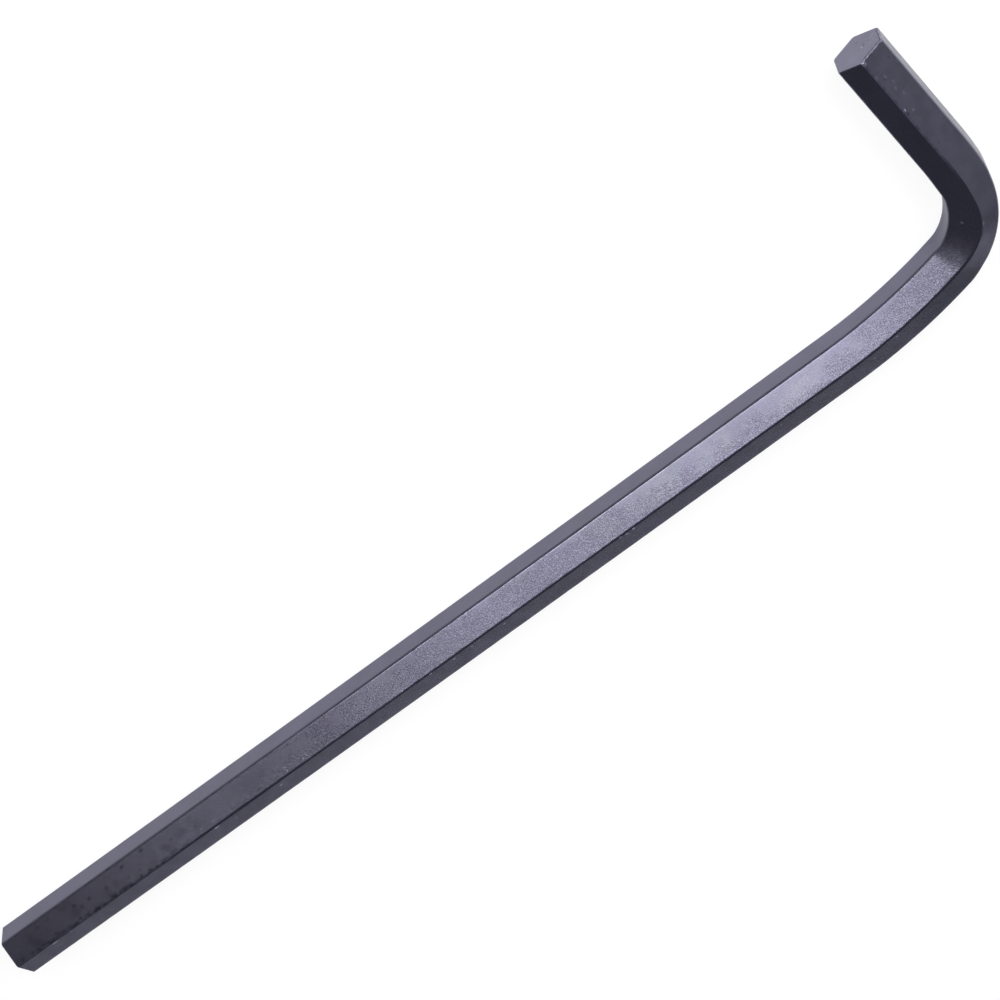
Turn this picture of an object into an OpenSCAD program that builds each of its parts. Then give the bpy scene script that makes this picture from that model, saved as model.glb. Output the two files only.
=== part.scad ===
// Hex key with a long arm, bent from one length of hexagonal steel bar.
// The key lies flat: its bend is in the horizontal plane, the long arm runs along X
// and the short arm points towards +Y. The bar lies on one of its ridges, so that
// one flat faces the inside of the bend and the opposite one faces straight outwards.
// The origin is in the middle of the overall length and width, at the lowest ridge.

/* [Bar] */
// Size across the flats, which is the size of socket that the key turns
across_flats = 8; // [3:0.5:12]
// Radius of the six long ridges of the bar
ridge_r = 0.55; // [0.2:0.05:1]

/* [Arms] */
// Overall length, from the long arm's tip to the outer flat of the short arm
long_reach = 208; // [170:1:320]
// Overall width, from the short arm's tip to the outer flat of the long arm
short_reach = 44; // [40:0.5:90]
// Width of the narrow bevel around each cut end
end_bevel = 0.3; // [0.1:0.05:0.6]

/* [Bend] */
// Radius of the tight middle of the bend, at the bar's axis
bend_r = 13; // [11:0.5:18]
// Radius of the easing from the long arm into the bend, at the bar's axis
long_ease_r = 100; // [40:1:120]
// Angle that this easing turns through
long_ease_angle = 13; // [2:0.5:20]
// Radius of the easing from the bend into the short arm, at the bar's axis
short_ease_r = 60; // [20:1:70]
// Angle that this easing turns through
short_ease_angle = 5; // [1:0.5:8]

/* [Hidden] */

// The bar's surface: its flats, the centres of its rounded ridges and its lowest point
flat_r = across_flats / 2;
ridge_centre = (flat_r - ridge_r) / cos(30);
axis_z = ridge_centre + ridge_r;

// The two arms' axes and tips, from the overall sizes
long_axis_y = flat_r - short_reach / 2;
short_axis_x = long_reach / 2 - flat_r;
long_tip = [-long_reach / 2, long_axis_y];
short_tip = [short_axis_x, short_reach / 2];

// Heading of the axis, as an angle from +X, where the tight bend starts and where it ends
bend_from = long_ease_angle;
bend_to = 90 - short_ease_angle;

// How far the axis travels along an arc while its heading turns from one angle to another
function arc_step(r, from, to) = r * [sin(to) - sin(from), cos(from) - cos(to)];

long_ease_step = arc_step(long_ease_r, 0, bend_from);
bend_step = arc_step(bend_r, bend_from, bend_to);
short_ease_step = arc_step(short_ease_r, bend_to, 90);
whole_turn = long_ease_step + bend_step + short_ease_step;

// Where each stretch of the axis starts, in order from the long arm
long_ease_start = [short_axis_x - whole_turn.x, long_axis_y];
bend_start = long_ease_start + long_ease_step;
short_ease_start = bend_start + bend_step;
short_arm_start = short_ease_start + short_ease_step;

// Section of the bar: a hexagon with rounded ridges and a flat square to the first axis
module bar_section() {
    corners = [for (k = [0:5]) ridge_centre * [cos(60 * k + 30), sin(60 * k + 30)]];
    edges = [for (k = [0:5], side = [-30, 30])
        let (a = 60 * k + 30 + side)
        corners[k] + ridge_r * [cos(a), sin(a)]];
    polygon(edges);
    for (c = corners)
        translate(c) circle(ridge_r, $fn = 24);
}

// Moves to a point in the plane of the axis, in a coarse step and a fine one,
// so that no digit is lost and the stretches of bar meet face to face
module at_axis(point) {
    place = [point.x, point.y, axis_z];
    coarse = [for (p = place) round(p * 1000) / 1000];
    translate(coarse) translate(place - coarse) children();
}

// A straight stretch of bar that leaves a point of the axis along a heading
module straight_bar(start, heading, length) {
    at_axis(start)
        rotate([0, 0, heading])
            rotate([90, 0, 90])
                linear_extrude(length) bar_section();
}

// A stretch of bar that bends to the left from a point of the axis, between two headings
module bent_bar(start, r, from, to) {
    at_axis(start + r * [-sin(from), cos(from)])
        rotate_extrude(angle = to - from, start = from - 90, $fn = 180)
            translate([r, 0]) bar_section();
}

// Six blocks that bevel the edges of a cut end, which faces along the heading
module end_bevels(tip, heading) {
    block = 2 * across_flats;
    at_axis(tip)
        rotate([0, 0, heading])
            for (k = [0:5])
                rotate([60 * k, 0, 0])
                    translate([-end_bevel, flat_r, 0])
                        rotate([0, 0, -45])
                            translate([-block / 2, 0, -block / 2])
                                cube(block);
}

// The whole key, as one piece
module hex_key() {
    color("#3d3b46")
        difference() {
            union() {
                straight_bar(long_ease_start, 180, long_ease_start.x - long_tip.x);
                bent_bar(long_ease_start, long_ease_r, 0, bend_from);
                bent_bar(bend_start, bend_r, bend_from, bend_to);
                bent_bar(short_ease_start, short_ease_r, bend_to, 90);
                straight_bar(short_arm_start, 90, short_tip.y - short_arm_start.y);
            }
            end_bevels(long_tip, 180);
            end_bevels(short_tip, 90);
        }
}

hex_key();
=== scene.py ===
"""Looks of a long-arm hex key in dark oxide steel, lying on a plain pale floor.

The key is one bar with a hexagonal section. Its axis runs straight along +X, eases into a tight bend,
eases out of it and runs straight along +Y. A node tree sweeps the section along that axis from named
sizes, and the finish is made of nodes that read the piece's own place and attributes.
"""

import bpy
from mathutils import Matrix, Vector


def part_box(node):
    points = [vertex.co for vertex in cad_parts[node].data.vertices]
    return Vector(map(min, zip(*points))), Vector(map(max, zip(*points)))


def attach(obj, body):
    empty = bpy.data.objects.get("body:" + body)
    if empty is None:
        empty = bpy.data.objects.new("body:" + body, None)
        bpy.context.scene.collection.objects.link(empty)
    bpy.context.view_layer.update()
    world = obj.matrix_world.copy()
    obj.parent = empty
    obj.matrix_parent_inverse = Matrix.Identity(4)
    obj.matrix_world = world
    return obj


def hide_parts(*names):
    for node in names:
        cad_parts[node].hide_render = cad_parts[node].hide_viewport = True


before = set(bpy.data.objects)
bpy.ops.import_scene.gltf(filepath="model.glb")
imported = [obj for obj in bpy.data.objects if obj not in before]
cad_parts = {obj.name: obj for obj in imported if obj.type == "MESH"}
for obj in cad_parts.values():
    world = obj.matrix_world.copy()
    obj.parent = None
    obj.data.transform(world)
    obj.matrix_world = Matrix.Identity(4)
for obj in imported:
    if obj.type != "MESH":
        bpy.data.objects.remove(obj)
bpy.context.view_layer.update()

import logging
import math
from dataclasses import dataclass
from enum import Enum
from typing import Optional, Union

import bpy
from mathutils import Matrix, Vector

LOG = logging.getLogger("hex_key")

CAD_NODE = "hex_key"
CAD_BODY = "root"
MM = 0.001
SIDES = 6
SIXTH = math.tau / SIDES
WHITE = (1.0, 1.0, 1.0, 1.0)

Node = bpy.types.Node
NodeTree = bpy.types.NodeTree
Socket = bpy.types.NodeSocket
Material = bpy.types.Material
Number = Union[int, float, "Field"]
Settings = Optional[dict[str, str]]
Colour = tuple[float, float, float]
Point = tuple[float, float, float]
# A fade is where a smooth step starts and where it ends.
Fade = tuple[float, float]
# A band is where a range starts, where it ends, and the width of the fade outside each end.
Band = tuple[float, float, float]


# Values in node trees


class Field:
    """A value that a node tree works out for each point, with the usual arithmetic."""

    def __init__(self, tree: NodeTree, socket: Socket) -> None:
        """Keeps a tree and one of its outputs.

        Args:
            tree: The node tree that holds the socket.
            socket: The output that gives the value.
        """
        self.tree = tree
        self.socket = socket

    def maths(self, operation: str, *others: Number) -> "Field":
        """Adds a Math node whose first input is this value.

        Args:
            operation: The Math node's operation.
            others: The node's other inputs.

        Returns:
            The node's result.
        """
        node = self.tree.nodes.new("ShaderNodeMath")
        node.operation = operation
        for socket, value in zip(node.inputs, (self, *others)):
            feed(self.tree, socket, value)
        return Field(self.tree, node.outputs[0])

    def __add__(self, other: Number) -> "Field":
        """Sum."""
        return self.maths("ADD", other)

    __radd__ = __add__

    def __sub__(self, other: Number) -> "Field":
        """Difference."""
        return self.maths("SUBTRACT", other)

    def __rsub__(self, other: Number) -> "Field":
        """A number less this value."""
        return self.maths("MULTIPLY_ADD", -1.0, other)

    def __mul__(self, other: Number) -> "Field":
        """Product."""
        return self.maths("MULTIPLY", other)

    __rmul__ = __mul__

    def __truediv__(self, other: Number) -> "Field":
        """Quotient."""
        return self.maths("DIVIDE", other)

    def sin(self) -> "Field":
        """Sine of an angle in radians."""
        return self.maths("SINE")

    def cos(self) -> "Field":
        """Cosine of an angle in radians."""
        return self.maths("COSINE")

    def least(self, other: Number) -> "Field":
        """The smaller of two values."""
        return self.maths("MINIMUM", other)

    def held(self, low: Number = 0.0, high: Number = 1.0) -> "Field":
        """The value kept between two limits."""
        return self.maths("MAXIMUM", low).least(high)

    def ramp(self, low: float, high: float, start: float = 0.0, end: float = 1.0) -> "Field":
        """Turns one range into another along a smooth step, and holds it beyond both ends.

        Args:
            low: Value that gives start.
            high: Value that gives end.
            start: Result at low.
            end: Result at high.

        Returns:
            The mapped value.
        """
        node = self.tree.nodes.new("ShaderNodeMapRange")
        node.interpolation_type = "SMOOTHSTEP"
        self.tree.links.new(self.socket, node.inputs["Value"])
        for name, value in (("From Min", low), ("From Max", high), ("To Min", start), ("To Max", end)):
            node.inputs[name].default_value = value
        return Field(self.tree, node.outputs["Result"])

    def fall(self, low: float, high: float) -> "Field":
        """A smooth step down, from 1 at low to 0 at high."""
        return self.ramp(low, high, 1.0, 0.0)

    def band(self, low: float, high: float, soft: float) -> "Field":
        """Picks out a range.

        Args:
            low: Where the range starts.
            high: Where it ends.
            soft: Width of the fade outside each end.

        Returns:
            1 inside the range and 0 beyond the fades.
        """
        return self.ramp(low - soft, low) * self.fall(high, high + soft)


def feed(tree: NodeTree, socket: Socket, value: object) -> None:
    """Links a value into a socket, or sets the socket if the value is a plain one.

    Args:
        tree: The node tree that holds the socket.
        socket: The input to set.
        value: A Field, an output socket or a plain value.
    """
    if isinstance(value, Field):
        tree.links.new(value.socket, socket)
    elif isinstance(value, Socket):
        tree.links.new(value, socket)
    else:
        socket.default_value = value


class TreeMaker:
    """A node tree that is being made."""

    def __init__(self, tree: NodeTree) -> None:
        """Keeps the tree."""
        self.tree = tree

    def node(self, kind: str, settings: Settings = None, **inputs: object) -> Node:
        """Adds a node, sets its options and feeds its inputs.

        Args:
            kind: The node's type.
            settings: The node's options, by name.
            inputs: Values by input name, with an underscore for each space.

        Returns:
            The node.
        """
        node = self.tree.nodes.new(kind)
        for name, option in (settings or {}).items():
            setattr(node, name, option)
        for name, value in inputs.items():
            feed(self.tree, node.inputs[name.replace("_", " ")], value)
        return node

    def out(self, node: Node, name: Union[int, str] = 0) -> Field:
        """Takes one of a node's outputs as a value."""
        return Field(self.tree, node.outputs[name])

    def split(self, vector: Socket) -> tuple[Field, Field, Field]:
        """Takes a vector apart into its three parts."""
        parts = self.node("ShaderNodeSeparateXYZ", Vector=vector)
        return self.out(parts, "X"), self.out(parts, "Y"), self.out(parts, "Z")

    def scaled(self, vector: Socket, factor: Field) -> Socket:
        """Multiplies a vector or a colour.

        Args:
            vector: The vector or colour.
            factor: What it is multiplied by.

        Returns:
            The result.
        """
        node = self.node("ShaderNodeVectorMath", {"operation": "SCALE"}, Scale=factor)
        feed(self.tree, node.inputs[0], vector)
        return node.outputs[0]

    def noise(
        self, scale: Number, seed: Number, layers: float = 2.0, rough: float = 0.5, **inputs: object
    ) -> Field:
        """Adds cloudy noise.

        Args:
            scale: Number of features in a metre.
            seed: Picks the pattern.
            layers: Number of finer layers.
            rough: Strength of each finer layer.
            inputs: Other inputs, by name.

        Returns:
            The noise, around 0.5.
        """
        given = dict(inputs, Scale=scale, W=seed, Detail=layers, Roughness=rough)
        return self.out(self.node("ShaderNodeTexNoise", {"noise_dimensions": "4D"}, **given))

    def rays(self, *kinds: str) -> Field:
        """Tells some kinds of light ray from all others.

        Args:
            kinds: The kinds of ray, such as Camera.

        Returns:
            1 for rays of these kinds and 0 for others.
        """
        path = self.node("ShaderNodeLightPath")
        found = [self.out(path, f"Is {kind} Ray") for kind in kinds]
        return sum(found[1:], found[0]).held()


# The bar


class Rim(Enum):
    """How the rings change in size along a stretch."""

    FULL = "full"
    OPENING = "opening"
    CLOSING = "closing"


@dataclass(frozen=True)
class Stretch:
    """Part of the bar that the rings follow: an end face, its bevel, a straight or a curve."""

    name: str
    steps: int
    length: float = 0.0
    radius: float = 0.0
    angle: float = 0.0
    rim: Rim = Rim.FULL
    bowed: bool = False


@dataclass(frozen=True)
class BarSizes:
    """Sizes of the key in metres and degrees. The overall ones come from the frame."""

    long_reach: float
    short_reach: float
    height: float
    across_flats: float = 8.0 * MM
    ridge_r: float = 0.34 * MM
    end_bevel: float = 0.12 * MM
    bend_r: float = 13.0 * MM
    long_ease_r: float = 100.0 * MM
    long_ease_angle: float = 13.0
    short_ease_r: float = 60.0 * MM
    short_ease_angle: float = 5.0

    @property
    def flat_r(self) -> float:
        """Distance of a flat from the axis."""
        return self.across_flats / 2

    @property
    def ridge_centre(self) -> float:
        """Distance of the centre of a rounded ridge from the axis."""
        return (self.flat_r - self.ridge_r) / math.cos(SIXTH / 2)

    @property
    def side_width(self) -> float:
        """Distance round the section from one ridge's start to the next."""
        return self.ridge_centre + self.ridge_r * SIXTH

    @property
    def apex(self) -> float:
        """Distance of the crown of a ridge from the axis."""
        return self.height / 2

    @property
    def bend_angle(self) -> float:
        """Angle of the tight part of the bend, between its two easings."""
        return 90.0 - self.long_ease_angle - self.short_ease_angle

    def arcs_span(self) -> tuple[float, float]:
        """Works out how far the three arcs of the bend carry the axis.

        Returns:
            The travel along the long arm and across it.
        """
        along = across = heading = 0.0
        arcs = (
            (self.long_ease_r, self.long_ease_angle),
            (self.bend_r, self.bend_angle),
            (self.short_ease_r, self.short_ease_angle),
        )
        for radius, angle in arcs:
            after = heading + math.radians(angle)
            along += radius * (math.sin(after) - math.sin(heading))
            across += radius * (math.cos(heading) - math.cos(after))
            heading = after
        return along, across


@dataclass(frozen=True)
class Forming:
    """Marks that drawing, bending and use left in the bar's form, in metres and degrees."""

    arm_bow: float = 0.83 * MM
    ridge_shift: float = 0.78 * MM
    shift_rise: Fade = (10.0, 50.0)
    shift_fall: Fade = (50.0, 82.0)
    crown_start: float = 0.5
    thinning: float = 0.04
    inner_spread: float = 0.07
    tight_rise: Fade = (13.0, 26.0)
    tight_fall: Fade = (74.0, 88.0)
    ridge_wear: float = 0.02 * MM
    wear_reach: float = 0.4 * MM
    wear_scale: float = 1100.0
    wear_layers: float = 3.0
    wear_levels: Fade = (0.35, 0.75)
    dent_depth: float = 0.14 * MM
    dent_length: float = 0.7 * MM
    dent_width: float = 0.5 * MM
    dent_start: float = 1.0 * MM
    dent_full: float = 0.5 * MM
    seed: float = 11.0


@dataclass(frozen=True)
class RingPlan:
    """How finely the bar is divided: lengths in metres, an angle in degrees, and counts of faces."""

    straight_step: float = 0.5 * MM
    ease_step: float = 0.4 * MM
    bend_step: float = 0.22 * MM
    cap_rings: int = 5
    bevel_rings: int = 2
    ridge_faces: int = 6
    flat_faces: int = 8
    end_crowding: float = 0.9
    merge_gap: float = 0.001 * MM
    sharp_angle: float = 30.0

    def stretches(self, sizes: BarSizes) -> list[Stretch]:
        """Lists the stretches in order, from the middle of the long end face.

        Args:
            sizes: The key's sizes.

        Returns:
            Nine stretches, whose first and last are the two end faces.
        """
        along, across = sizes.arcs_span()
        bevel = sizes.end_bevel
        long_arm = sizes.long_reach - sizes.flat_r - along - bevel
        short_arm = sizes.short_reach - sizes.flat_r - across - bevel
        return [
            Stretch("Long Face", self.cap_rings, rim=Rim.OPENING),
            Stretch("Long Bevel", self.bevel_rings, bevel, rim=Rim.OPENING),
            Stretch("Long Arm", round(long_arm / self.straight_step), long_arm, bowed=True),
            self.arc("Long Easing", self.ease_step, sizes.long_ease_r, sizes.long_ease_angle),
            self.arc("Bend", self.bend_step, sizes.bend_r, sizes.bend_angle),
            self.arc("Short Easing", self.ease_step, sizes.short_ease_r, sizes.short_ease_angle),
            Stretch("Short Arm", round(short_arm / self.straight_step), short_arm),
            Stretch("Short Bevel", self.bevel_rings, bevel, rim=Rim.CLOSING),
            Stretch("Short Face", self.cap_rings, rim=Rim.CLOSING),
        ]

    @staticmethod
    def arc(name: str, step: float, radius: float, angle: float) -> Stretch:
        """Plans a curved stretch.

        Args:
            name: The stretch's name.
            step: Length of one step along the axis.
            radius: Radius of the axis.
            angle: Angle that it turns through, in degrees.

        Returns:
            The stretch.
        """
        steps = round(radius * math.radians(angle) / step)
        return Stretch(name, steps, radius=radius, angle=math.radians(angle))


@dataclass
class Sweep:
    """Where a ring lies: its travel, heading, distance from the start, size and share of the bow."""

    along: Field
    across: Field
    heading: Field
    distance: Field
    reach: Field
    bow: Field


class Input(Enum):
    """Kinds of named input that the bar's node tree has."""

    NUMBER = "NodeSocketFloat"
    COUNT = "NodeSocketInt"
    MATERIAL = "NodeSocketMaterial"


class BarTree(TreeMaker):
    """Geometry Nodes tree that sweeps the rounded hexagon along the axis."""

    def __init__(self, sizes: BarSizes, forming: Forming, plan: RingPlan) -> None:
        """Makes an empty tree.

        Args:
            sizes: The key's sizes.
            forming: The marks of its making.
            plan: How finely it is divided.
        """
        super().__init__(bpy.data.node_groups.new("hex_bar", "GeometryNodeTree"))
        self.sizes = sizes
        self.forming = forming
        self.stretches = plan.stretches(sizes)
        self.plan = plan
        self.values: dict[str, object] = {}
        self.tree.interface.new_socket("Geometry", in_out="OUTPUT", socket_type="NodeSocketGeometry")
        self.entry = self.tree.nodes.new("NodeGroupInput")

    def ask(self, name: str, value: object, kind: Input = Input.NUMBER) -> Field:
        """Adds a named input.

        Args:
            name: The input's name.
            value: The value that the modifier gives it.
            kind: The kind of value it takes.

        Returns:
            The input.
        """
        self.tree.interface.new_socket(name, in_out="INPUT", socket_type=kind.value)
        self.values[name] = value
        return self.out(self.entry, name)

    def store(self, shape: Socket, name: str, value: object, uv: bool = False) -> Socket:
        """Stores a field on the mesh under a name.

        Args:
            shape: The geometry.
            name: The attribute's name.
            value: The field.
            uv: Whether it is a UV map, which is kept for each corner of a face.

        Returns:
            The geometry with the attribute.
        """
        settings = {"data_type": "FLOAT2" if uv else "FLOAT", "domain": "CORNER" if uv else "POINT"}
        node = self.node("GeometryNodeStoreNamedAttribute", settings, Geometry=shape, Name=name, Value=value)
        return node.outputs["Geometry"]

    def stored(self, name: str) -> Field:
        """Reads a field that the mesh keeps under a name."""
        return self.out(self.node("GeometryNodeInputNamedAttribute", Name=name), "Attribute")

    def follow(self, ring: Field) -> tuple[Sweep, Field]:
        """Follows the axis, one stretch after another.

        Args:
            ring: The number of a ring, from 0.

        Returns:
            Where the ring lies, and the number of steps in all.
        """
        zero = ring * 0.0
        place = Sweep(along=zero, across=zero, heading=zero, distance=zero, reach=zero + 1.0, bow=zero)
        first: Number = 0.0
        for stretch in self.stretches:
            steps = self.ask(f"{stretch.name} Steps", stretch.steps, Input.COUNT)
            done = ((ring - first) / steps).held()
            first = steps + first
            if stretch.radius:
                self.follow_arc(place, stretch, done)
            elif stretch.length:
                length = self.ask(f"{stretch.name} Length", stretch.length)
                gone = done * length
                place.along = gone * place.heading.cos() + place.along
                place.across = gone * place.heading.sin() + place.across
                place.distance = gone + place.distance
            if stretch.rim is not Rim.FULL:
                left = done if stretch.rim is Rim.CLOSING else 1.0 - done
                lost = left * length / self.sizes.flat_r if stretch.length else left * left * left
                place.reach = place.reach * (1.0 - lost)
            if stretch.bowed:
                left = 1.0 - done
                place.bow = left * left
        return place, first

    def follow_arc(self, place: Sweep, stretch: Stretch, done: Field) -> None:
        """Follows one curved stretch.

        Args:
            place: Where the stretch starts, which is moved on.
            stretch: The stretch.
            done: How much of it lies before the ring, from 0 to 1.
        """
        radius = self.ask(f"{stretch.name} Radius", stretch.radius)
        turned = done * self.ask(f"{stretch.name} Angle", stretch.angle)
        start = place.heading
        place.heading = turned + start
        place.along = radius * (place.heading.sin() - start.sin()) + place.along
        place.across = radius * (start.cos() - place.heading.cos()) + place.across
        place.distance = radius * turned + place.distance

    def section(self, column: Field, ridge_faces: Field, flat_faces: Field) -> tuple[Field, ...]:
        """Follows the rounded hexagon, from the tangent line between the outer flat and the lower ridge.

        Args:
            column: The number of a point round the section, from 0.
            ridge_faces: The number of faces round each ridge.
            flat_faces: The number of faces across each flat.

        Returns:
            The point's distance inwards and upwards from the axis, its distance from the nearest ridge
            along the surface, and its distance round the section.
        """
        radius = self.ask("Ridge Radius", self.sizes.ridge_r)
        reach = self.ask("Ridge Centre", self.sizes.ridge_centre)
        side_faces = ridge_faces + flat_faces
        side = ((column + 0.5) / side_faces).maths("FLOOR").least(SIDES - 1)
        local = column - side * side_faces
        ridge = (side - (SIDES - 1) / 2) * SIXTH
        roll = ((local / ridge_faces).held() - 0.5) * SIXTH
        flat = ((local - ridge_faces) / flat_faces).held()
        crowded = flat - (flat * math.tau).sin() * (self.plan.end_crowding / math.tau)
        over = ridge + SIXTH * 2
        rolled = ridge + roll
        inward, upward = (
            (ridge.maths(part) + over.maths(part) * crowded) * reach + rolled.maths(part) * radius
            for part in ("COSINE", "SINE")
        )
        from_axis = (inward * inward + upward * upward).maths("SQRT")
        crowned = (self.ask("Crown Reach", self.sizes.apex) / from_axis).least(1.0)
        gap = roll.maths("ABSOLUTE") * radius + crowded.least(1.0 - crowded) * reach
        travel = side * (radius * SIXTH + reach) + (roll + SIXTH / 2) * radius + crowded * reach
        return inward * crowned, upward * crowned, gap, travel

    def bent(self, inward: Field, upward: Field, heading: Field) -> tuple[Field, Field]:
        """Changes the section as the bending did: the top and bottom ridges drift outwards.

        Args:
            inward: Distance inwards from the axis.
            upward: Distance upwards from the axis.
            heading: Heading of the axis, in radians.

        Returns:
            The changed distances inwards and upwards.
        """
        marks = self.forming
        degrees = heading * math.degrees(1.0)
        apex = self.sizes.apex
        drift = degrees.ramp(*marks.shift_rise) * degrees.fall(*marks.shift_fall)
        tight = degrees.ramp(*marks.tight_rise) * degrees.fall(*marks.tight_fall)
        crown = ((upward.maths("ABSOLUTE") / apex - marks.crown_start) / (1.0 - marks.crown_start)).held()
        inner = (inward / self.sizes.flat_r).held()
        shift = self.ask("Ridge Shift", marks.ridge_shift)
        thinner = 1.0 - tight * self.ask("Bend Thinning", marks.thinning)
        wider = tight * inner * self.ask("Inner Spread", marks.inner_spread) + 1.0
        return inward * thinner - drift * crown * shift, (upward * wider).held(-apex, apex)

    def build(self, finish: Material) -> NodeTree:
        """Builds the whole tree.

        Args:
            finish: The bar's material.

        Returns:
            The node tree.
        """
        ring_row, column_row, _ = self.split(self.node("GeometryNodeInputPosition").outputs[0])
        ring_half = self.ask("Rings Half", sum(s.steps for s in self.stretches) / 2)
        ridge_faces = self.ask("Ridge Faces", self.plan.ridge_faces, Input.COUNT)
        flat_faces = self.ask("Flat Faces", self.plan.flat_faces, Input.COUNT)
        column_half = (ridge_faces + flat_faces) * (SIDES / 2)
        column = (column_row + column_half).maths("ROUND")
        place, rings = self.follow((ring_row + ring_half).maths("ROUND"))
        inward, upward, gap, travel = self.section(column, ridge_faces, flat_faces)
        grid = self.node(
            "GeometryNodeMeshGrid",
            Size_X=ring_half * 2.0,
            Size_Y=column_half * 2.0,
            Vertices_X=rings + 1.0,
            Vertices_Y=column_half * 2.0 + 1.0,
        )
        shape = self.store(grid.outputs["Mesh"], "ridge_gap", gap)
        shape = self.store(shape, "along", place.distance)
        shape = self.store(shape, "face_reach", place.reach)
        uv = self.node("ShaderNodeCombineXYZ", X=place.distance, Y=travel)
        shape = self.store(shape, "bar_map", uv.outputs[0], uv=True)
        inward, upward = self.bent(inward, upward, place.heading)
        shape = self.place_points(shape, place, inward * place.reach, upward * place.reach)
        merged = self.node("GeometryNodeMergeByDistance", Geometry=shape, Distance=self.plan.merge_gap)
        turned = self.node("GeometryNodeFlipFaces", Mesh=merged.outputs["Geometry"])
        smooth = self.shade(self.wear(turned.outputs["Mesh"]))
        real = self.node("GeometryNodeRealizeInstances", Geometry=smooth)
        dressed = self.node(
            "GeometryNodeSetMaterial",
            Geometry=real.outputs[0],
            Material=self.ask("Finish", finish, Input.MATERIAL),
        )
        self.node("NodeGroupOutput", Geometry=dressed.outputs[0])
        return self.tree

    def place_points(self, shape: Socket, place: Sweep, inward: Field, upward: Field) -> Socket:
        """Moves the grid's points onto the bar.

        Args:
            shape: The grid.
            place: Where each ring lies.
            inward: Distance of each point inwards from the axis.
            upward: Distance of each point upwards from the axis.

        Returns:
            The bar, open along one line.
        """
        bow = place.bow * self.ask("Arm Bow", self.forming.arm_bow)
        start_x = self.ask("Axis Start X", -self.sizes.long_reach / 2)
        start_y = self.ask("Axis Start Y", self.sizes.flat_r - self.sizes.short_reach / 2)
        axis_z = self.ask("Axis Height", self.sizes.height / 2)
        x = place.along + start_x - place.heading.sin() * inward
        y = place.across + start_y + place.heading.cos() * inward + bow
        point = self.node("ShaderNodeCombineXYZ", X=x, Y=y, Z=upward + axis_z)
        moved = self.node("GeometryNodeSetPosition", Geometry=shape, Position=point.outputs[0])
        return moved.outputs["Geometry"]

    def wear(self, shape: Socket) -> Socket:
        """Wears the ridges down a little, unevenly, and knocks in the top corner of the short tip.

        Args:
            shape: The closed bar.

        Returns:
            The worn bar.
        """
        marks = self.forming
        gap = self.stored("ridge_gap")
        scale = self.ask("Wear Scale", marks.wear_scale)
        worn = self.noise(scale, self.ask("Seed", marks.seed), marks.wear_layers).ramp(*marks.wear_levels)
        depth = worn * gap.fall(0.0, marks.wear_reach) * self.ask("Ridge Wear", -marks.ridge_wear)
        depth = depth - self.corner_dent(gap)
        push = self.scaled(self.node("GeometryNodeInputNormal").outputs[0], depth)
        moved = self.node("GeometryNodeSetPosition", Geometry=shape, Offset=push)
        return moved.outputs["Geometry"]

    def corner_dent(self, gap: Field) -> Field:
        """Knocks in the top corner of the short tip.

        Args:
            gap: Distance from the nearest ridge.

        Returns:
            How deep the surface is pushed in, in metres.
        """
        marks = self.forming
        top = self.sizes.height
        full = sum(s.length + s.radius * s.angle for s in self.stretches)
        height = self.split(self.node("GeometryNodeInputPosition").outputs[0])[2]
        at_tip = self.stored("along").ramp(full - marks.dent_length, full)
        on_ridge = gap.fall(0.0, marks.dent_width)
        on_top = height.ramp(top - marks.dent_start, top - marks.dent_full)
        return at_tip * on_ridge * on_top * self.ask("Corner Dent", marks.dent_depth)

    def shade(self, shape: Socket) -> Socket:
        """Shades the faces smooth, with crisp edges where the ends were cut.

        Args:
            shape: The bar.

        Returns:
            The bar with its shading.
        """
        kind = "GeometryNodeSetShadeSmooth"
        faces = self.node(kind, {"domain": "FACE"}, Geometry=shape, Shade_Smooth=True)
        angle = self.out(self.node("GeometryNodeInputMeshEdgeAngle"), "Unsigned Angle")
        sharp = angle.maths("GREATER_THAN", math.radians(self.plan.sharp_angle))
        settings = {"domain": "EDGE"}
        edges = self.node(kind, settings, Geometry=faces.outputs[0], Selection=sharp, Shade_Smooth=False)
        return edges.outputs[0]


# Finishes


@dataclass(frozen=True)
class Clouds:
    """Cloudy pattern that goes from its start value to 1 between two levels of a noise."""

    scale: float
    seed: float
    low: float
    high: float
    start: float = 0.0
    layers: float = 2.0
    rough: float = 0.5


@dataclass(frozen=True)
class Dots:
    """Scattered dots: cells in a metre, shift in metres, radii in cell widths, and how rare they are."""

    scale: float
    shift: float
    core: float
    rim: float
    rare: float
    sure: float


@dataclass(frozen=True)
class Zone:
    """Stretch along the bar: where it fades in and where it fades out, in millimetres."""

    fade_in: Optional[Fade] = None
    fade_out: Optional[Fade] = None

    def share(self, along: Field) -> Number:
        """Picks out the stretch.

        Args:
            along: Distance along the bar, in millimetres.

        Returns:
            1 inside the stretch and 0 beyond it.
        """
        rise = along.ramp(*self.fade_in) if self.fade_in else 1.0
        fall = along.fall(*self.fade_out) if self.fade_out else 1.0
        return rise * fall


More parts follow.
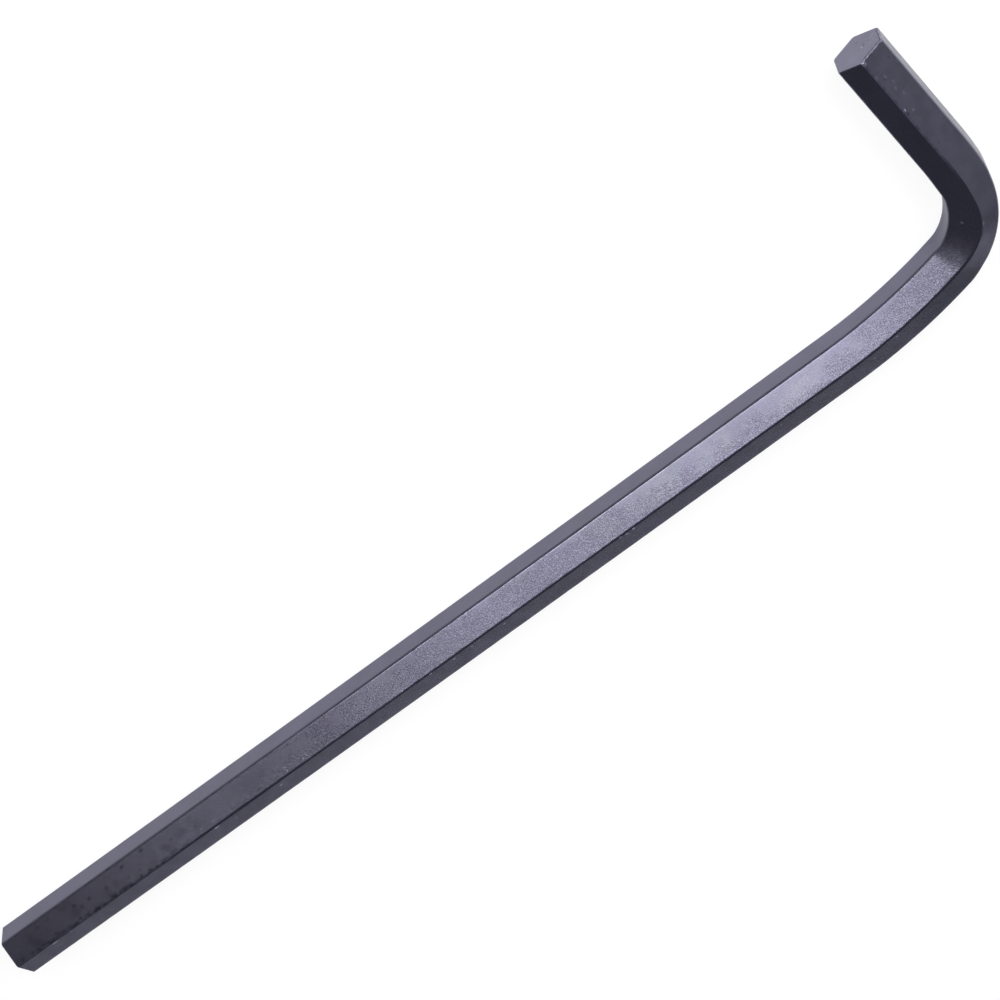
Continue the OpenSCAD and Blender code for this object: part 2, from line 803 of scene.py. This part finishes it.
class FinishTree(TreeMaker):
    """Shader node tree of one material, with the patterns that its finish is made of."""

    def __init__(self, name: str) -> None:
        """Makes a material with an empty tree.

        Args:
            name: The material's name.
        """
        self.material = bpy.data.materials.new(name)
        self.material.use_nodes = True
        super().__init__(self.material.node_tree)
        self.tree.nodes.clear()
        self.place = self.node("ShaderNodeTexCoord").outputs["Object"]
        self.drawn: dict[object, Field] = {}

    def clouds(self, kind: Clouds) -> Field:
        """Draws a cloudy pattern, once for each kind.

        Args:
            kind: The pattern.

        Returns:
            The pattern, up to 1.
        """
        if kind not in self.drawn:
            noise = self.noise(kind.scale, kind.seed, kind.layers, kind.rough, Vector=self.place)
            self.drawn[kind] = noise.ramp(kind.low, kind.high, kind.start)
        return self.drawn[kind]

    def dots(self, kind: Dots) -> Field:
        """Draws scattered dots, once for each kind.

        Args:
            kind: The pattern.

        Returns:
            1 on the dots and 0 between them.
        """
        if kind not in self.drawn:
            gap, draw = self.cells(kind.scale, kind.shift)
            self.drawn[kind] = gap.fall(kind.core, kind.rim) * draw.ramp(kind.rare, kind.sure)
        return self.drawn[kind]

    def cells(self, scale: float, shift: float) -> tuple[Field, Field]:
        """Adds scattered points in the piece's own space.

        Args:
            scale: Number of cells in a metre.
            shift: Moves the pattern, in metres.

        Returns:
            The distance from the nearest point in cell widths, and a random number for each cell.
        """
        moved = self.node("ShaderNodeVectorMath")
        feed(self.tree, moved.inputs[0], self.place)
        moved.inputs[1].default_value = (shift, shift, shift)
        cell = self.node("ShaderNodeTexVoronoi", Vector=moved.outputs[0], Scale=scale)
        draw = self.node("ShaderNodeSeparateColor", Color=cell.outputs["Color"])
        return self.out(cell, "Distance"), self.out(draw, "Red")

    def blend(self, share: Field, first: object, second: object) -> Socket:
        """Mixes two colours.

        Args:
            share: How much of the second shows.
            first: The first colour, or a socket that gives it.
            second: The second colour, or a socket that gives it.

        Returns:
            The mixed colour.
        """
        node = self.node("ShaderNodeMix", {"data_type": "RGBA"}, Factor=share)
        for name, colour in (("A", first), ("B", second)):
            socket = next(s for s in node.inputs if s.name == name and s.type == "RGBA")
            feed(self.tree, socket, colour if isinstance(colour, Socket) else (*colour, 1.0))
        return next(s for s in node.outputs if s.type == "RGBA")

    def finish(self, surface: Socket) -> Material:
        """Ends the tree.

        Args:
            surface: The shader that the surface gets.

        Returns:
            The material.
        """
        self.node("ShaderNodeOutputMaterial", Surface=surface)
        return self.material

    def glowing(self, strength: object, colour: object = WHITE) -> Socket:
        """Makes a surface that gives light.

        Args:
            strength: How bright it is.
            colour: Its colour.

        Returns:
            The shader.
        """
        return self.node("ShaderNodeEmission", Color=colour, Strength=strength).outputs[0]


class BarFinishTree(FinishTree):
    """Finish tree of the bar, which knows where each point of it lies.

    The distance along the bar is in millimetres from the long arm's end, its far tip. Places round the
    bar are counted in sides of the hexagon, from the lower outer ridge: the upright inner flat lies
    between 2 and 3, the inner slope between 3 and 4, the outer slope between 4 and 5 and the upright
    outer flat between 5 and 6. So the inner ridge is at 3 and the top ridge at 4. The reach is 1 all
    along the bar, and on an end face it falls to 0 in the middle.
    """

    def __init__(self, name: str, side_width: float) -> None:
        """Makes a material that reads the bar's map.

        Args:
            name: The material's name.
            side_width: Distance round the bar from one ridge's start to the next, in metres.
        """
        super().__init__(name)
        along, round_bar, _ = self.split(self.node("ShaderNodeUVMap", {"uv_map": "bar_map"}).outputs[0])
        self.side_width = side_width / MM
        self.along = along / MM
        self.side = round_bar / side_width
        self.reach = self.out(self.node("ShaderNodeAttribute", {"attribute_name": "face_reach"}), "Fac")


@dataclass(frozen=True)
class Layer:
    """A strip round and along the bar that is lighter or darker, evenly or by a pattern."""

    strip: Band
    even: float = 0.0
    patterned: float = 0.0
    pattern: Union[Clouds, Dots, None] = None
    zone: Zone = Zone()

    def tone(self, tree: BarFinishTree) -> Field:
        """Adds the layer to a material.

        Args:
            tree: The material's tree.

        Returns:
            What the layer adds to the tone.
        """
        tone = tree.side.band(*self.strip) * self.zone.share(tree.along)
        if self.pattern is None:
            return tone * self.even
        draw = tree.clouds if isinstance(self.pattern, Clouds) else tree.dots
        return tone * (draw(self.pattern) * self.patterned + self.even)


PATCHY = Clouds(900.0, 13.0, 0.35, 0.6)
DOTTED = Clouds(1500.0, 19.0, 0.45, 0.6)
BLOTCHES = Clouds(330.0, 23.0, 0.5, 0.66, layers=3.0)
MOTTLE = Clouds(420.0, 29.0, 0.35, 0.65, start=-1.0, layers=3.0)
SPECKS = Dots(620.0, 0.31, 0.12, 0.2, 0.84, 0.86)
PITS = Dots(900.0, 0.57, 0.16, 0.26, 0.8, 0.82)
EDGE_DOTS = Dots(1600.0, 0.43, 0.18, 0.34, 0.45, 0.5)

WORKED_ARM = Zone((45.0, 85.0), (188.0, 197.0))
WORKED_FAR_PART = Zone((45.0, 85.0), (126.0, 150.0))
FAR_TIP = Zone(fade_out=(28.0, 46.0))
FAR_END = Zone(fade_out=(30.0, 60.0))
FAR_ARM = Zone((24.0, 44.0), (64.0, 84.0))
SHORT_RIDGE = Zone((210.0, 219.0))
SHORT_ARM = Zone((212.0, 222.0))

RIDGE_LINES = (
    # The inner ridge is dark, with a rubbed line above it that weakens towards the bend.
    Layer((2.957, 3.045, 0.02), even=-0.46),
    Layer((3.068, 3.092, 0.012), even=0.2, patterned=0.28, pattern=PATCHY, zone=WORKED_ARM),
    Layer((3.068, 3.092, 0.012), even=0.3, patterned=0.42, pattern=PATCHY, zone=WORKED_FAR_PART),
    # The top ridge is bright along the worked arm, and faintly so just inside it.
    Layer((3.95, 3.99, 0.02), even=0.05, patterned=0.2, pattern=PATCHY, zone=WORKED_ARM),
    Layer((3.99, 4.026, 0.01), even=1.2, patterned=0.8, pattern=PATCHY, zone=WORKED_ARM),
    # Near the far tip the top ridge has dark spots inside it and bright ones on it.
    Layer((3.91, 4.0, 0.03), patterned=-0.5, pattern=DOTTED, zone=FAR_TIP),
    Layer((4.0, 4.05, 0.02), even=0.9, patterned=-0.9, pattern=DOTTED, zone=FAR_TIP),
    # Along the short arm the top ridge is bright.
    Layer((3.995, 4.07, 0.02), even=1.1, patterned=0.7, pattern=PATCHY, zone=SHORT_RIDGE),
)

STAINS = (
    # The inner slope has blotches at the far end, then a darker stretch and a paler one.
    Layer((3.1, 4.0, 0.03), patterned=-0.2, pattern=BLOTCHES, zone=FAR_END),
    Layer((3.07, 4.0, 0.03), even=-0.17, zone=Zone((44.0, 54.0), (68.0, 82.0))),
    Layer((3.07, 4.0, 0.03), even=0.12, zone=Zone((86.0, 97.0), (103.0, 114.0))),
    # The outer slope is mottled, with bright specks near the top ridge.
    Layer((4.1, 5.0, 0.05), patterned=0.07, pattern=MOTTLE),
    Layer((4.09, 4.4, 0.08), patterned=1.3, pattern=SPECKS),
    # Pits darken the inner slope's far end and the outer slope of the short arm.
    Layer((3.2, 4.0, 0.1), patterned=-0.45, pattern=PITS, zone=FAR_END),
    Layer((4.1, 5.0, 0.03), patterned=-0.3, pattern=PITS, zone=SHORT_ARM),
    # Bright dots follow the inner slope's upper edge and dark ones its lower edge.
    Layer((3.78, 3.96, 0.06), patterned=0.5, pattern=EDGE_DOTS, zone=FAR_ARM),
    Layer((3.1, 3.22, 0.05), patterned=-0.35, pattern=EDGE_DOTS, zone=FAR_ARM),
    # The outer flat of the short arm is a little darker.
    Layer((5.1, 6.0, 0.02), even=-0.06, zone=SHORT_ARM),
)


@dataclass(frozen=True)
class Mark:
    """A worn or pitted spot: its place along and round the bar, its size in millimetres and its tone."""

    along: float
    side: float
    length: float
    width: float
    tone: float
    core: float = 0.35

    def tone_on(self, tree: BarFinishTree) -> Field:
        """Adds the spot to a material.

        Args:
            tree: The material's tree.

        Returns:
            What the spot adds to the tone.
        """
        lengthwise = (tree.along - self.along) / self.length
        sideways = (tree.side - self.side) * (tree.side_width / self.width)
        away = lengthwise * lengthwise + sideways * sideways
        return away.ramp(self.core, 1.0, self.tone, 0.0)


# Each mark gives its place along the bar, its place round it, its length, its width and its tone.
USE_MARKS = (
    # The short arm and the bend: the bright nick of the tip's top corner, nicks of the ridge and specks.
    Mark(235.95, 4.04, 0.55, 0.42, 6.5),
    Mark(233.0, 4.04, 0.50, 0.35, 1.0),
    Mark(226.0, 4.07, 0.32, 0.28, 2.6),
    Mark(225.2, 4.09, 0.34, 0.26, -0.55),
    Mark(232.0, 4.32, 0.42, 0.26, 0.40),
    Mark(230.5, 4.43, 0.40, 0.22, 0.35),
    Mark(229.5, 4.34, 0.38, 0.22, 0.35),
    Mark(228.0, 4.45, 0.40, 0.24, 0.35),
    Mark(225.0, 4.32, 0.36, 0.26, 0.45),
    Mark(203.0, 3.45, 0.30, 0.30, 1.6),
    # Bright specks of the outer slope, along the long arm.
    Mark(8.0, 4.15, 0.70, 0.28, 1.6),
    Mark(6.6, 4.13, 0.40, 0.26, 0.7),
    Mark(43.5, 4.15, 0.30, 0.28, 3.0),
    Mark(89.0, 4.10, 0.30, 0.28, 2.6),
    Mark(93.5, 4.22, 0.28, 0.26, 1.8),
    Mark(127.5, 4.10, 0.30, 0.28, 2.2),
    Mark(128.6, 4.17, 0.30, 0.28, 2.6),
    Mark(130.0, 4.14, 0.32, 0.28, 3.0),
    # Dark pits of the inner slope, near the far tip.
    Mark(15.0, 3.41, 0.35, 0.30, -0.5),
    Mark(18.0, 3.52, 0.40, 0.30, -0.45),
    Mark(26.0, 3.28, 0.40, 0.30, -0.5),
    Mark(30.5, 3.19, 0.45, 0.30, -0.45),
)


@dataclass(frozen=True)
class Grain:
    """Fine grain of the oxide, and how much it shows on smooth and on coarse places; depths in metres."""

    clouds: Clouds = Clouds(5200.0, 3.0, 0.32, 0.68, start=-1.0, rough=0.7)
    dot_scale: float = 2700.0
    dot_shift: float = 0.11
    dot_radii: Fade = (0.2, 0.42)
    dot_tone: float = 0.5
    smooth_tone: float = 0.05
    coarse_tone: float = 0.32
    smooth_depth: float = 0.0012 * MM
    coarse_depth: float = 0.0022 * MM

    def draw(self, tree: FinishTree) -> Field:
        """Adds the grain to a material.

        Args:
            tree: The material's tree.

        Returns:
            The grain, about 0.
        """
        gap, draw = tree.cells(self.dot_scale, self.dot_shift)
        dots = gap.fall(*self.dot_radii) * (draw - 0.5) * (2.0 * self.dot_tone)
        return tree.clouds(self.clouds) + dots


@dataclass(frozen=True)
class CoarseScale:
    """Where the inner slope keeps the coarse grain of its scale: in patches, mostly near the top ridge."""

    inner_slope: Band = (3.06, 4.0, 0.03)
    zone: Zone = Zone((20.0, 50.0), (202.0, 212.0))
    border: float = 2.93
    cloud_scale: float = 260.0
    cloud_seed: float = 5.0
    cloud_reach: float = 2.3
    calm_zone: Zone = Zone((122.0, 140.0), (168.0, 186.0))
    calm_drop: float = 0.5
    inner_edge: Band = (3.0, 3.2, 0.08)
    outer_edge: Band = (3.72, 4.0, 0.1)
    edge_rise: float = 0.9
    middle_drop: float = 0.42
    far_arm: Zone = Zone(fade_out=(64.0, 84.0))
    fade: Fade = (-0.05, 0.3)
    least: float = 0.15
    outer_flat: Layer = Layer((5.1, 6.0, 0.02), even=0.5)

    def share(self, tree: BarFinishTree) -> Field:
        """Finds how coarse the grain is.

        Args:
            tree: The material's tree.

        Returns:
            0 where the bar is smooth and 1 where it is coarse.
        """
        side = tree.side
        clouds = tree.noise(self.cloud_scale, self.cloud_seed, Vector=tree.place) - 0.5
        edges = side.band(*self.inner_edge) + side.band(*self.outer_edge)
        lie = side - self.border + clouds * self.cloud_reach
        lie = lie - self.calm_zone.share(tree.along) * self.calm_drop
        lie = lie + (edges * self.edge_rise - self.middle_drop) * self.far_arm.share(tree.along)
        slope = side.band(*self.inner_slope) * self.zone.share(tree.along)
        return slope * lie.ramp(*self.fade, self.least) + self.outer_flat.tone(tree)


@dataclass(frozen=True)
class CutEnds:
    """Tone of the cut end faces: a broken bright edge of wear and painted highlight, painted shade beside
    it, and a pit's painted light and shade in the middle.
    """

    base: float = 0.18
    clouds: Clouds = Clouds(260.0, 41.0, 0.3, 0.7, start=-1.0, layers=3.0)
    cloud_tone: float = 0.05
    pits: Dots = Dots(760.0, 0.83, 0.14, 0.26, 0.86, 0.88)
    pit_tone: float = -0.3
    broken: Clouds = Clouds(2500.0, 37.0, 0.42, 0.58, start=-1.0)
    # Sides where the rim's wear and its painted highlight and shade show.
    worn_and_lit_sides: Band = (4.08, 6.0, 0.03)
    narrow_sides: Band = (5.05, 6.0, 0.05)
    # A bright edge, partly wear and partly painted highlight, and a line of painted shade beside it.
    edge: Band = (0.01, 0.09, 0.015)
    edge_tone: float = 0.3
    edge_breaks: float = 0.9
    rim_shade: Band = (0.14, 0.21, 0.025)
    rim_shade_tone: float = 0.62
    rim_shade_breaks: float = 0.35
    # Painted highlight and painted shade of a pit in the middle of the face.
    pit_highlight_sides: Band = (5.15, 5.85, 0.15)
    pit_highlight_reach: Band = (0.13, 0.20, 0.03)
    pit_highlight_tone: float = 0.6
    pit_shade_sides: Band = (5.55, 6.0, 0.1)
    pit_shade_reach: Band = (0.23, 0.30, 0.03)
    pit_shade_tone: float = -0.4

    def tone(self, tree: BarFinishTree) -> Field:
        """Adds the cut to a material.

        Args:
            tree: The material's tree.

        Returns:
            What the cut adds to the tone.
        """
        side = tree.side
        reach = tree.reach
        broken = tree.clouds(self.broken)
        from_rim = (1.0 - reach) * (side.band(*self.narrow_sides) + 1.0)
        # Bright edge: partly wear, partly painted highlight. The line beside it is painted shade.
        edge = from_rim.band(*self.edge) * (broken * self.edge_breaks + self.edge_tone)
        rim_shade = from_rim.band(*self.rim_shade) * (broken * self.rim_shade_breaks + self.rim_shade_tone)
        # Painted highlight and painted shade of the pit in the middle.
        pit_highlight = side.band(*self.pit_highlight_sides) * reach.band(*self.pit_highlight_reach) * self.pit_highlight_tone
        pit_shade = side.band(*self.pit_shade_sides) * reach.band(*self.pit_shade_reach) * self.pit_shade_tone
        tone = tree.clouds(self.clouds) * self.cloud_tone + tree.dots(self.pits) * self.pit_tone + self.base
        return tone + pit_highlight + pit_shade + side.band(*self.worn_and_lit_sides) * (edge - rim_shade)


@dataclass(frozen=True)
class OxideFinish:
    """Dark oxide on drawn steel: violet grey, finely grained, and rubbed brighter on the ridges."""

    side_width: float
    colour: Colour = (0.176, 0.171, 0.232)
    deep_colour: Colour = (0.160, 0.156, 0.210)
    deep_patches: Clouds = Clouds(160.0, 7.0, 0.3, 0.7, layers=3.0)
    pale_colour: Colour = (0.190, 0.193, 0.238)
    pale_patches: Clouds = Clouds(110.0, 17.0, 0.48, 0.62, layers=3.0, rough=0.6)
    pale_share: float = 0.2
    pale_zone: Layer = Layer((3.05, 3.75, 0.2), even=0.7, zone=Zone((110.0, 145.0), (168.0, 190.0)))
    edge_tint: Colour = (0.84, 0.84, 0.86)
    roughness: float = 0.22
    grain: Grain = Grain()
    coarse: CoarseScale = CoarseScale()
    layers: tuple[Layer, ...] = RIDGE_LINES + STAINS
    marks: tuple[Mark, ...] = USE_MARKS
    # Painted shade: the outer slope grows darker towards the bend.
    outer_shade: Layer = Layer((4.06, 5.0, 0.02), even=-0.16, zone=Zone((60.0, 185.0), (200.0, 215.0)))
    cut: CutEnds = CutEnds()
    shaft_reach: Fade = (0.985, 0.999)
    mark_reach: Fade = (0.93, 0.96)
    darkest: float = 0.2
    brightest: float = 4.0

    def material(self) -> Material:
        """Makes the material.

        Returns:
            The material.
        """
        tree = BarFinishTree("black_oxide", self.side_width)
        grain = self.grain.draw(tree)
        coarse = self.coarse.share(tree)
        height = grain * (coarse * self.grain.coarse_depth + self.grain.smooth_depth)
        bump = tree.node("ShaderNodeBump", Strength=1.0, Distance=1.0, Height=height)
        steel = tree.node(
            "ShaderNodeBsdfPrincipled",
            Base_Color=tree.scaled(self.base_colour(tree), self.tone(tree, grain, coarse)),
            Metallic=1.0,
            Roughness=self.roughness,
            Specular_Tint=(*self.edge_tint, 1.0),
            Normal=bump.outputs[0],
        )
        return tree.finish(steel.outputs[0])

    def tone(self, tree: BarFinishTree, grain: Field, coarse: Field) -> Field:
        """Works out how much lighter or darker than its colour each point is.

        Args:
            tree: The material's tree.
            grain: The fine grain, about 0.
            coarse: How coarse the grain is, from 0 to 1.

        Returns:
            The factor on the colour.
        """
        shaft = tree.reach.ramp(*self.shaft_reach)
        lines = self.total([layer.tone(tree) for layer in self.layers])
        marks = self.total([mark.tone_on(tree) for mark in self.marks])
        tone = grain * (coarse * self.grain.coarse_tone + self.grain.smooth_tone) + 1.0
        tone = tone * (lines * shaft + marks * tree.reach.ramp(*self.mark_reach) + 1.0)
        # Painted shade on the outer slope near the bend.
        tone = tone * (self.outer_shade.tone(tree) + 1.0)
        # The cut end faces, with their painted highlight and shade.
        tone = tone * ((1.0 - shaft) * self.cut.tone(tree) + 1.0)
        return tone.held(self.darkest, self.brightest)

    @staticmethod
    def total(parts: list[Field]) -> Field:
        """Adds up some values."""
        return sum(parts[1:], parts[0])

    def base_colour(self, tree: BarFinishTree) -> Socket:
        """Mixes the oxide's patches.

        Args:
            tree: The material's tree.

        Returns:
            The colour.
        """
        pale = tree.clouds(self.pale_patches) * (self.pale_zone.tone(tree) + self.pale_share)
        colour = tree.blend(tree.clouds(self.deep_patches), self.colour, self.deep_colour)
        return tree.blend(pale, colour, self.pale_colour)


@dataclass(frozen=True)
class FloorFinish:
    """Matt white floor that shows as white and keeps a soft, faint shadow of the key."""

    colour: Colour = (0.85, 0.85, 0.85)
    seen_colour: Colour = (0.17, 0.17, 0.17)
    seen_lift: float = 0.895
    mirrored_lift: float = 0.21

    def material(self) -> Material:
        """Makes the material.

        Returns:
            The material.
        """
        tree = FinishTree("white_floor")
        seen = tree.rays("Camera")
        lift = seen * self.seen_lift + tree.rays("Glossy", "Transmission") * self.mirrored_lift
        matt = tree.node("ShaderNodeBsdfDiffuse", Color=tree.blend(seen, self.colour, self.seen_colour))
        both = tree.node("ShaderNodeAddShader")
        feed(tree.tree, both.inputs[0], matt.outputs[0])
        feed(tree.tree, both.inputs[1], tree.glowing(lift))
        return tree.finish(both.outputs[0])


@dataclass(frozen=True)
class ClothFinish:
    """Dim grey cloth of the studio's walls."""

    colour: Colour = (0.97, 1.0, 1.15)
    level: float = 0.12

    def material(self) -> Material:
        """Makes the material."""
        tree = FinishTree("grey_cloth")
        return tree.finish(tree.glowing(self.level, (*self.colour, 1.0)))


@dataclass(frozen=True)
class GlowFinish:
    """Lit sheet that fades towards one side, in metres along X."""

    level: float
    dark_x: float
    bright_x: float

    def material(self) -> Material:
        """Makes the material.

        Returns:
            The material.
        """
        tree = FinishTree("lit_sheet")
        strength = tree.split(tree.place)[0].ramp(self.dark_x, self.bright_x) * self.level
        return tree.finish(tree.glowing(strength))


# The key


@dataclass
class HexKey:
    """The whole key: one bent length of hexagonal bar."""

    sizes: BarSizes
    forming: Forming = Forming()
    plan: RingPlan = RingPlan()
    name: str = "key_bar"

    def build(self) -> bpy.types.Object:
        """Sweeps the bar and keeps it as a plain mesh.

        Returns:
            The finished piece, which rides on the frame and stands for the key's solid.
        """
        bar = BarTree(self.sizes, self.forming, self.plan)
        tree = bar.build(OxideFinish(self.sizes.side_width).material())
        piece = bpy.data.objects.new(self.name, self.baked(tree, bar.values))
        bpy.context.scene.collection.objects.link(piece)
        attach(piece, CAD_BODY)
        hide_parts(CAD_NODE)
        return piece

    def baked(self, tree: NodeTree, values: dict[str, object]) -> bpy.types.Mesh:
        """Runs a node tree once and takes its result.

        Args:
            tree: The node tree.
            values: The modifier's values, by input name.

        Returns:
            The mesh.
        """
        carrier = bpy.data.objects.new("bar_carrier", bpy.data.meshes.new("bar_carrier"))
        bpy.context.scene.collection.objects.link(carrier)
        modifier = carrier.modifiers.new("bar", "NODES")
        modifier.node_group = tree
        for item in tree.interface.items_tree:
            if item.in_out == "INPUT":
                modifier[item.identifier] = values[item.name]
        graph = bpy.context.evaluated_depsgraph_get()
        mesh = bpy.data.meshes.new_from_object(carrier.evaluated_get(graph), depsgraph=graph)
        mesh.name = self.name
        bpy.data.objects.remove(carrier)
        return mesh


# The studio


def stage_piece(
    name: str, corners: list[Point], faces: list[tuple[int, ...]], finish: Material, seen: bool = True
) -> bpy.types.Object:
    """Adds a piece of the studio.

    Args:
        name: The piece's name.
        corners: Its corners.
        faces: Its faces, as numbers of corners.
        finish: Its material.
        seen: Whether the camera sees it.

    Returns:
        The piece.
    """
    mesh = bpy.data.meshes.new(name)
    mesh.from_pydata(corners, [], faces)
    mesh.materials.append(finish)
    piece = bpy.data.objects.new(name, mesh)
    piece.visible_camera = seen
    bpy.context.scene.collection.objects.link(piece)
    return piece


@dataclass(frozen=True)
class Lamp:
    """A soft lamp: a flat panel of even brightness that faces a point."""

    name: str
    place: Point
    width: float
    depth: float
    level: float
    aim: Point = (0.0, 0.0, 0.0)

    def build(self) -> bpy.types.Object:
        """Hangs the lamp.

        Returns:
            The lamp.
        """
        data = bpy.data.lights.new(self.name, "AREA")
        data.shape = "RECTANGLE"
        data.size = self.width
        data.size_y = self.depth
        data.energy = self.level * math.pi * self.width * self.depth
        lamp = bpy.data.objects.new(self.name, data)
        lamp.location = self.place
        towards = Vector(self.aim) - Vector(self.place)
        lamp.rotation_euler = towards.to_track_quat("-Z", "Y").to_euler()
        bpy.context.scene.collection.objects.link(lamp)
        return lamp


@dataclass(frozen=True)
class Diffuser:
    """Level sheet over the key that a lamp shines through, brighter towards one side."""

    name: str = "diffuser"
    low: tuple[float, float] = (-0.52, 0.325)
    high: tuple[float, float] = (0.9, 1.3)
    height: float = 0.7
    level: float = 3.2
    bright_x: float = -0.08

    def build(self) -> bpy.types.Object:
        """Hangs the sheet, which faces down and isn't seen by the camera.

        Returns:
            The sheet.
        """
        (x0, y0), (x1, y1) = self.low, self.high
        corners = [(x, y, self.height) for x, y in ((x0, y0), (x0, y1), (x1, y1), (x1, y0))]
        finish = GlowFinish(self.level, x0, self.bright_x).material()
        return stage_piece(self.name, corners, [(0, 1, 2, 3)], finish, seen=False)


@dataclass(frozen=True)
class Camera:
    """The photograph's viewpoint, in metres, degrees and millimetres."""

    aim: Point = (0.012341, -0.002693, 0.004534)
    distance: float = 0.54346
    azimuth: float = 147.3017
    elevation: float = 57.6408
    roll: float = -172.085
    lens: float = 125.724
    sensor: float = 36.0
    clip_start: float = 0.01
    clip_end: float = 50.0

    def build(self) -> bpy.types.Object:
        """Sets up the camera and makes it the scene's own.

        Returns:
            The camera.
        """
        data = bpy.data.cameras.new("camera")
        data.lens = self.lens
        data.sensor_width = self.sensor
        data.clip_start = self.clip_start
        data.clip_end = self.clip_end
        camera = bpy.data.objects.new("camera", data)
        turn, rise, roll = (math.radians(a) for a in (self.azimuth, self.elevation, self.roll))
        back = Vector((math.sin(turn) * math.cos(rise), -math.cos(turn) * math.cos(rise), math.sin(rise)))
        level = Vector((math.cos(turn), math.sin(turn), 0.0))
        up = back.cross(level) * math.cos(roll) + level * math.sin(roll)
        axes = Matrix((up.cross(back), up, back)).transposed().to_4x4()
        camera.matrix_world = Matrix.Translation(Vector(self.aim) + back * self.distance) @ axes
        bpy.context.scene.collection.objects.link(camera)
        bpy.context.scene.camera = camera
        return camera


@dataclass
class Studio:
    """Floor, walls, lamps and camera round the key."""

    floor_half: float = 3.0
    wall_half: float = 2.9
    wall_height: float = 2.6
    sky_light: float = 0.13
    camera: Camera = Camera()
    diffuser: Diffuser = Diffuser()
    lamps: tuple[Lamp, ...] = (
        Lamp("lamp_side", (0.9, 0.45, 0.8), width=1.0, depth=1.0, level=4.0),
        Lamp("lamp_fill", (0.70, -0.58, 0.44), width=0.9, depth=0.72, level=0.285),
    )

    def build(self) -> None:
        """Builds the whole studio."""
        self.floor()
        self.walls()
        self.diffuser.build()
        for lamp in self.lamps:
            lamp.build()
            LOG.info("hung %s at level %.2f", lamp.name, lamp.level)
        self.camera.build()
        self.sky()

    def floor(self) -> None:
        """Lays the floor that the key lies on."""
        half = self.floor_half
        corners = [(x, y, 0.0) for x, y in ((-half, -half), (half, -half), (half, half), (-half, half))]
        stage_piece("floor", corners, [(0, 1, 2, 3)], FloorFinish().material())

    def walls(self) -> None:
        """Puts up the cloth walls and ceiling that the steel shows but the camera doesn't."""
        half = self.wall_half
        corners = [(x, y, z) for z in (0.0, self.wall_height) for y in (-half, half) for x in (-half, half)]
        faces = [(6, 7, 5, 4), (4, 5, 1, 0), (3, 7, 6, 2), (2, 6, 4, 0), (5, 7, 3, 1)]
        stage_piece("walls", corners, faces, ClothFinish().material(), seen=False)

    def sky(self) -> None:
        """Makes the far background white wherever it is seen."""
        world = bpy.data.worlds.new("white_background")
        bpy.context.scene.world = world
        world.use_nodes = True
        tree = TreeMaker(world.node_tree)
        tree.tree.nodes.clear()
        seen = tree.rays("Camera", "Glossy", "Transmission")
        strength = seen * (1.0 - self.sky_light) + self.sky_light
        glow = tree.node("ShaderNodeBackground", Color=WHITE, Strength=strength)
        tree.node("ShaderNodeOutputWorld", Surface=glow.outputs[0])


def main() -> None:
    """Builds the key and the studio in order."""
    logging.basicConfig(level=logging.INFO, format="%(name)s: %(message)s")
    low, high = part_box(CAD_NODE)
    sizes = BarSizes(high.x - low.x, high.y - low.y, high.z - low.z)
    piece = HexKey(sizes).build()
    LOG.info("built %s: %d points, %d faces", piece.name, len(piece.data.vertices), len(piece.data.polygons))
    Studio().build()
    bpy.context.scene.view_settings.view_transform = "Standard"


if __name__ == "__main__":
    main()
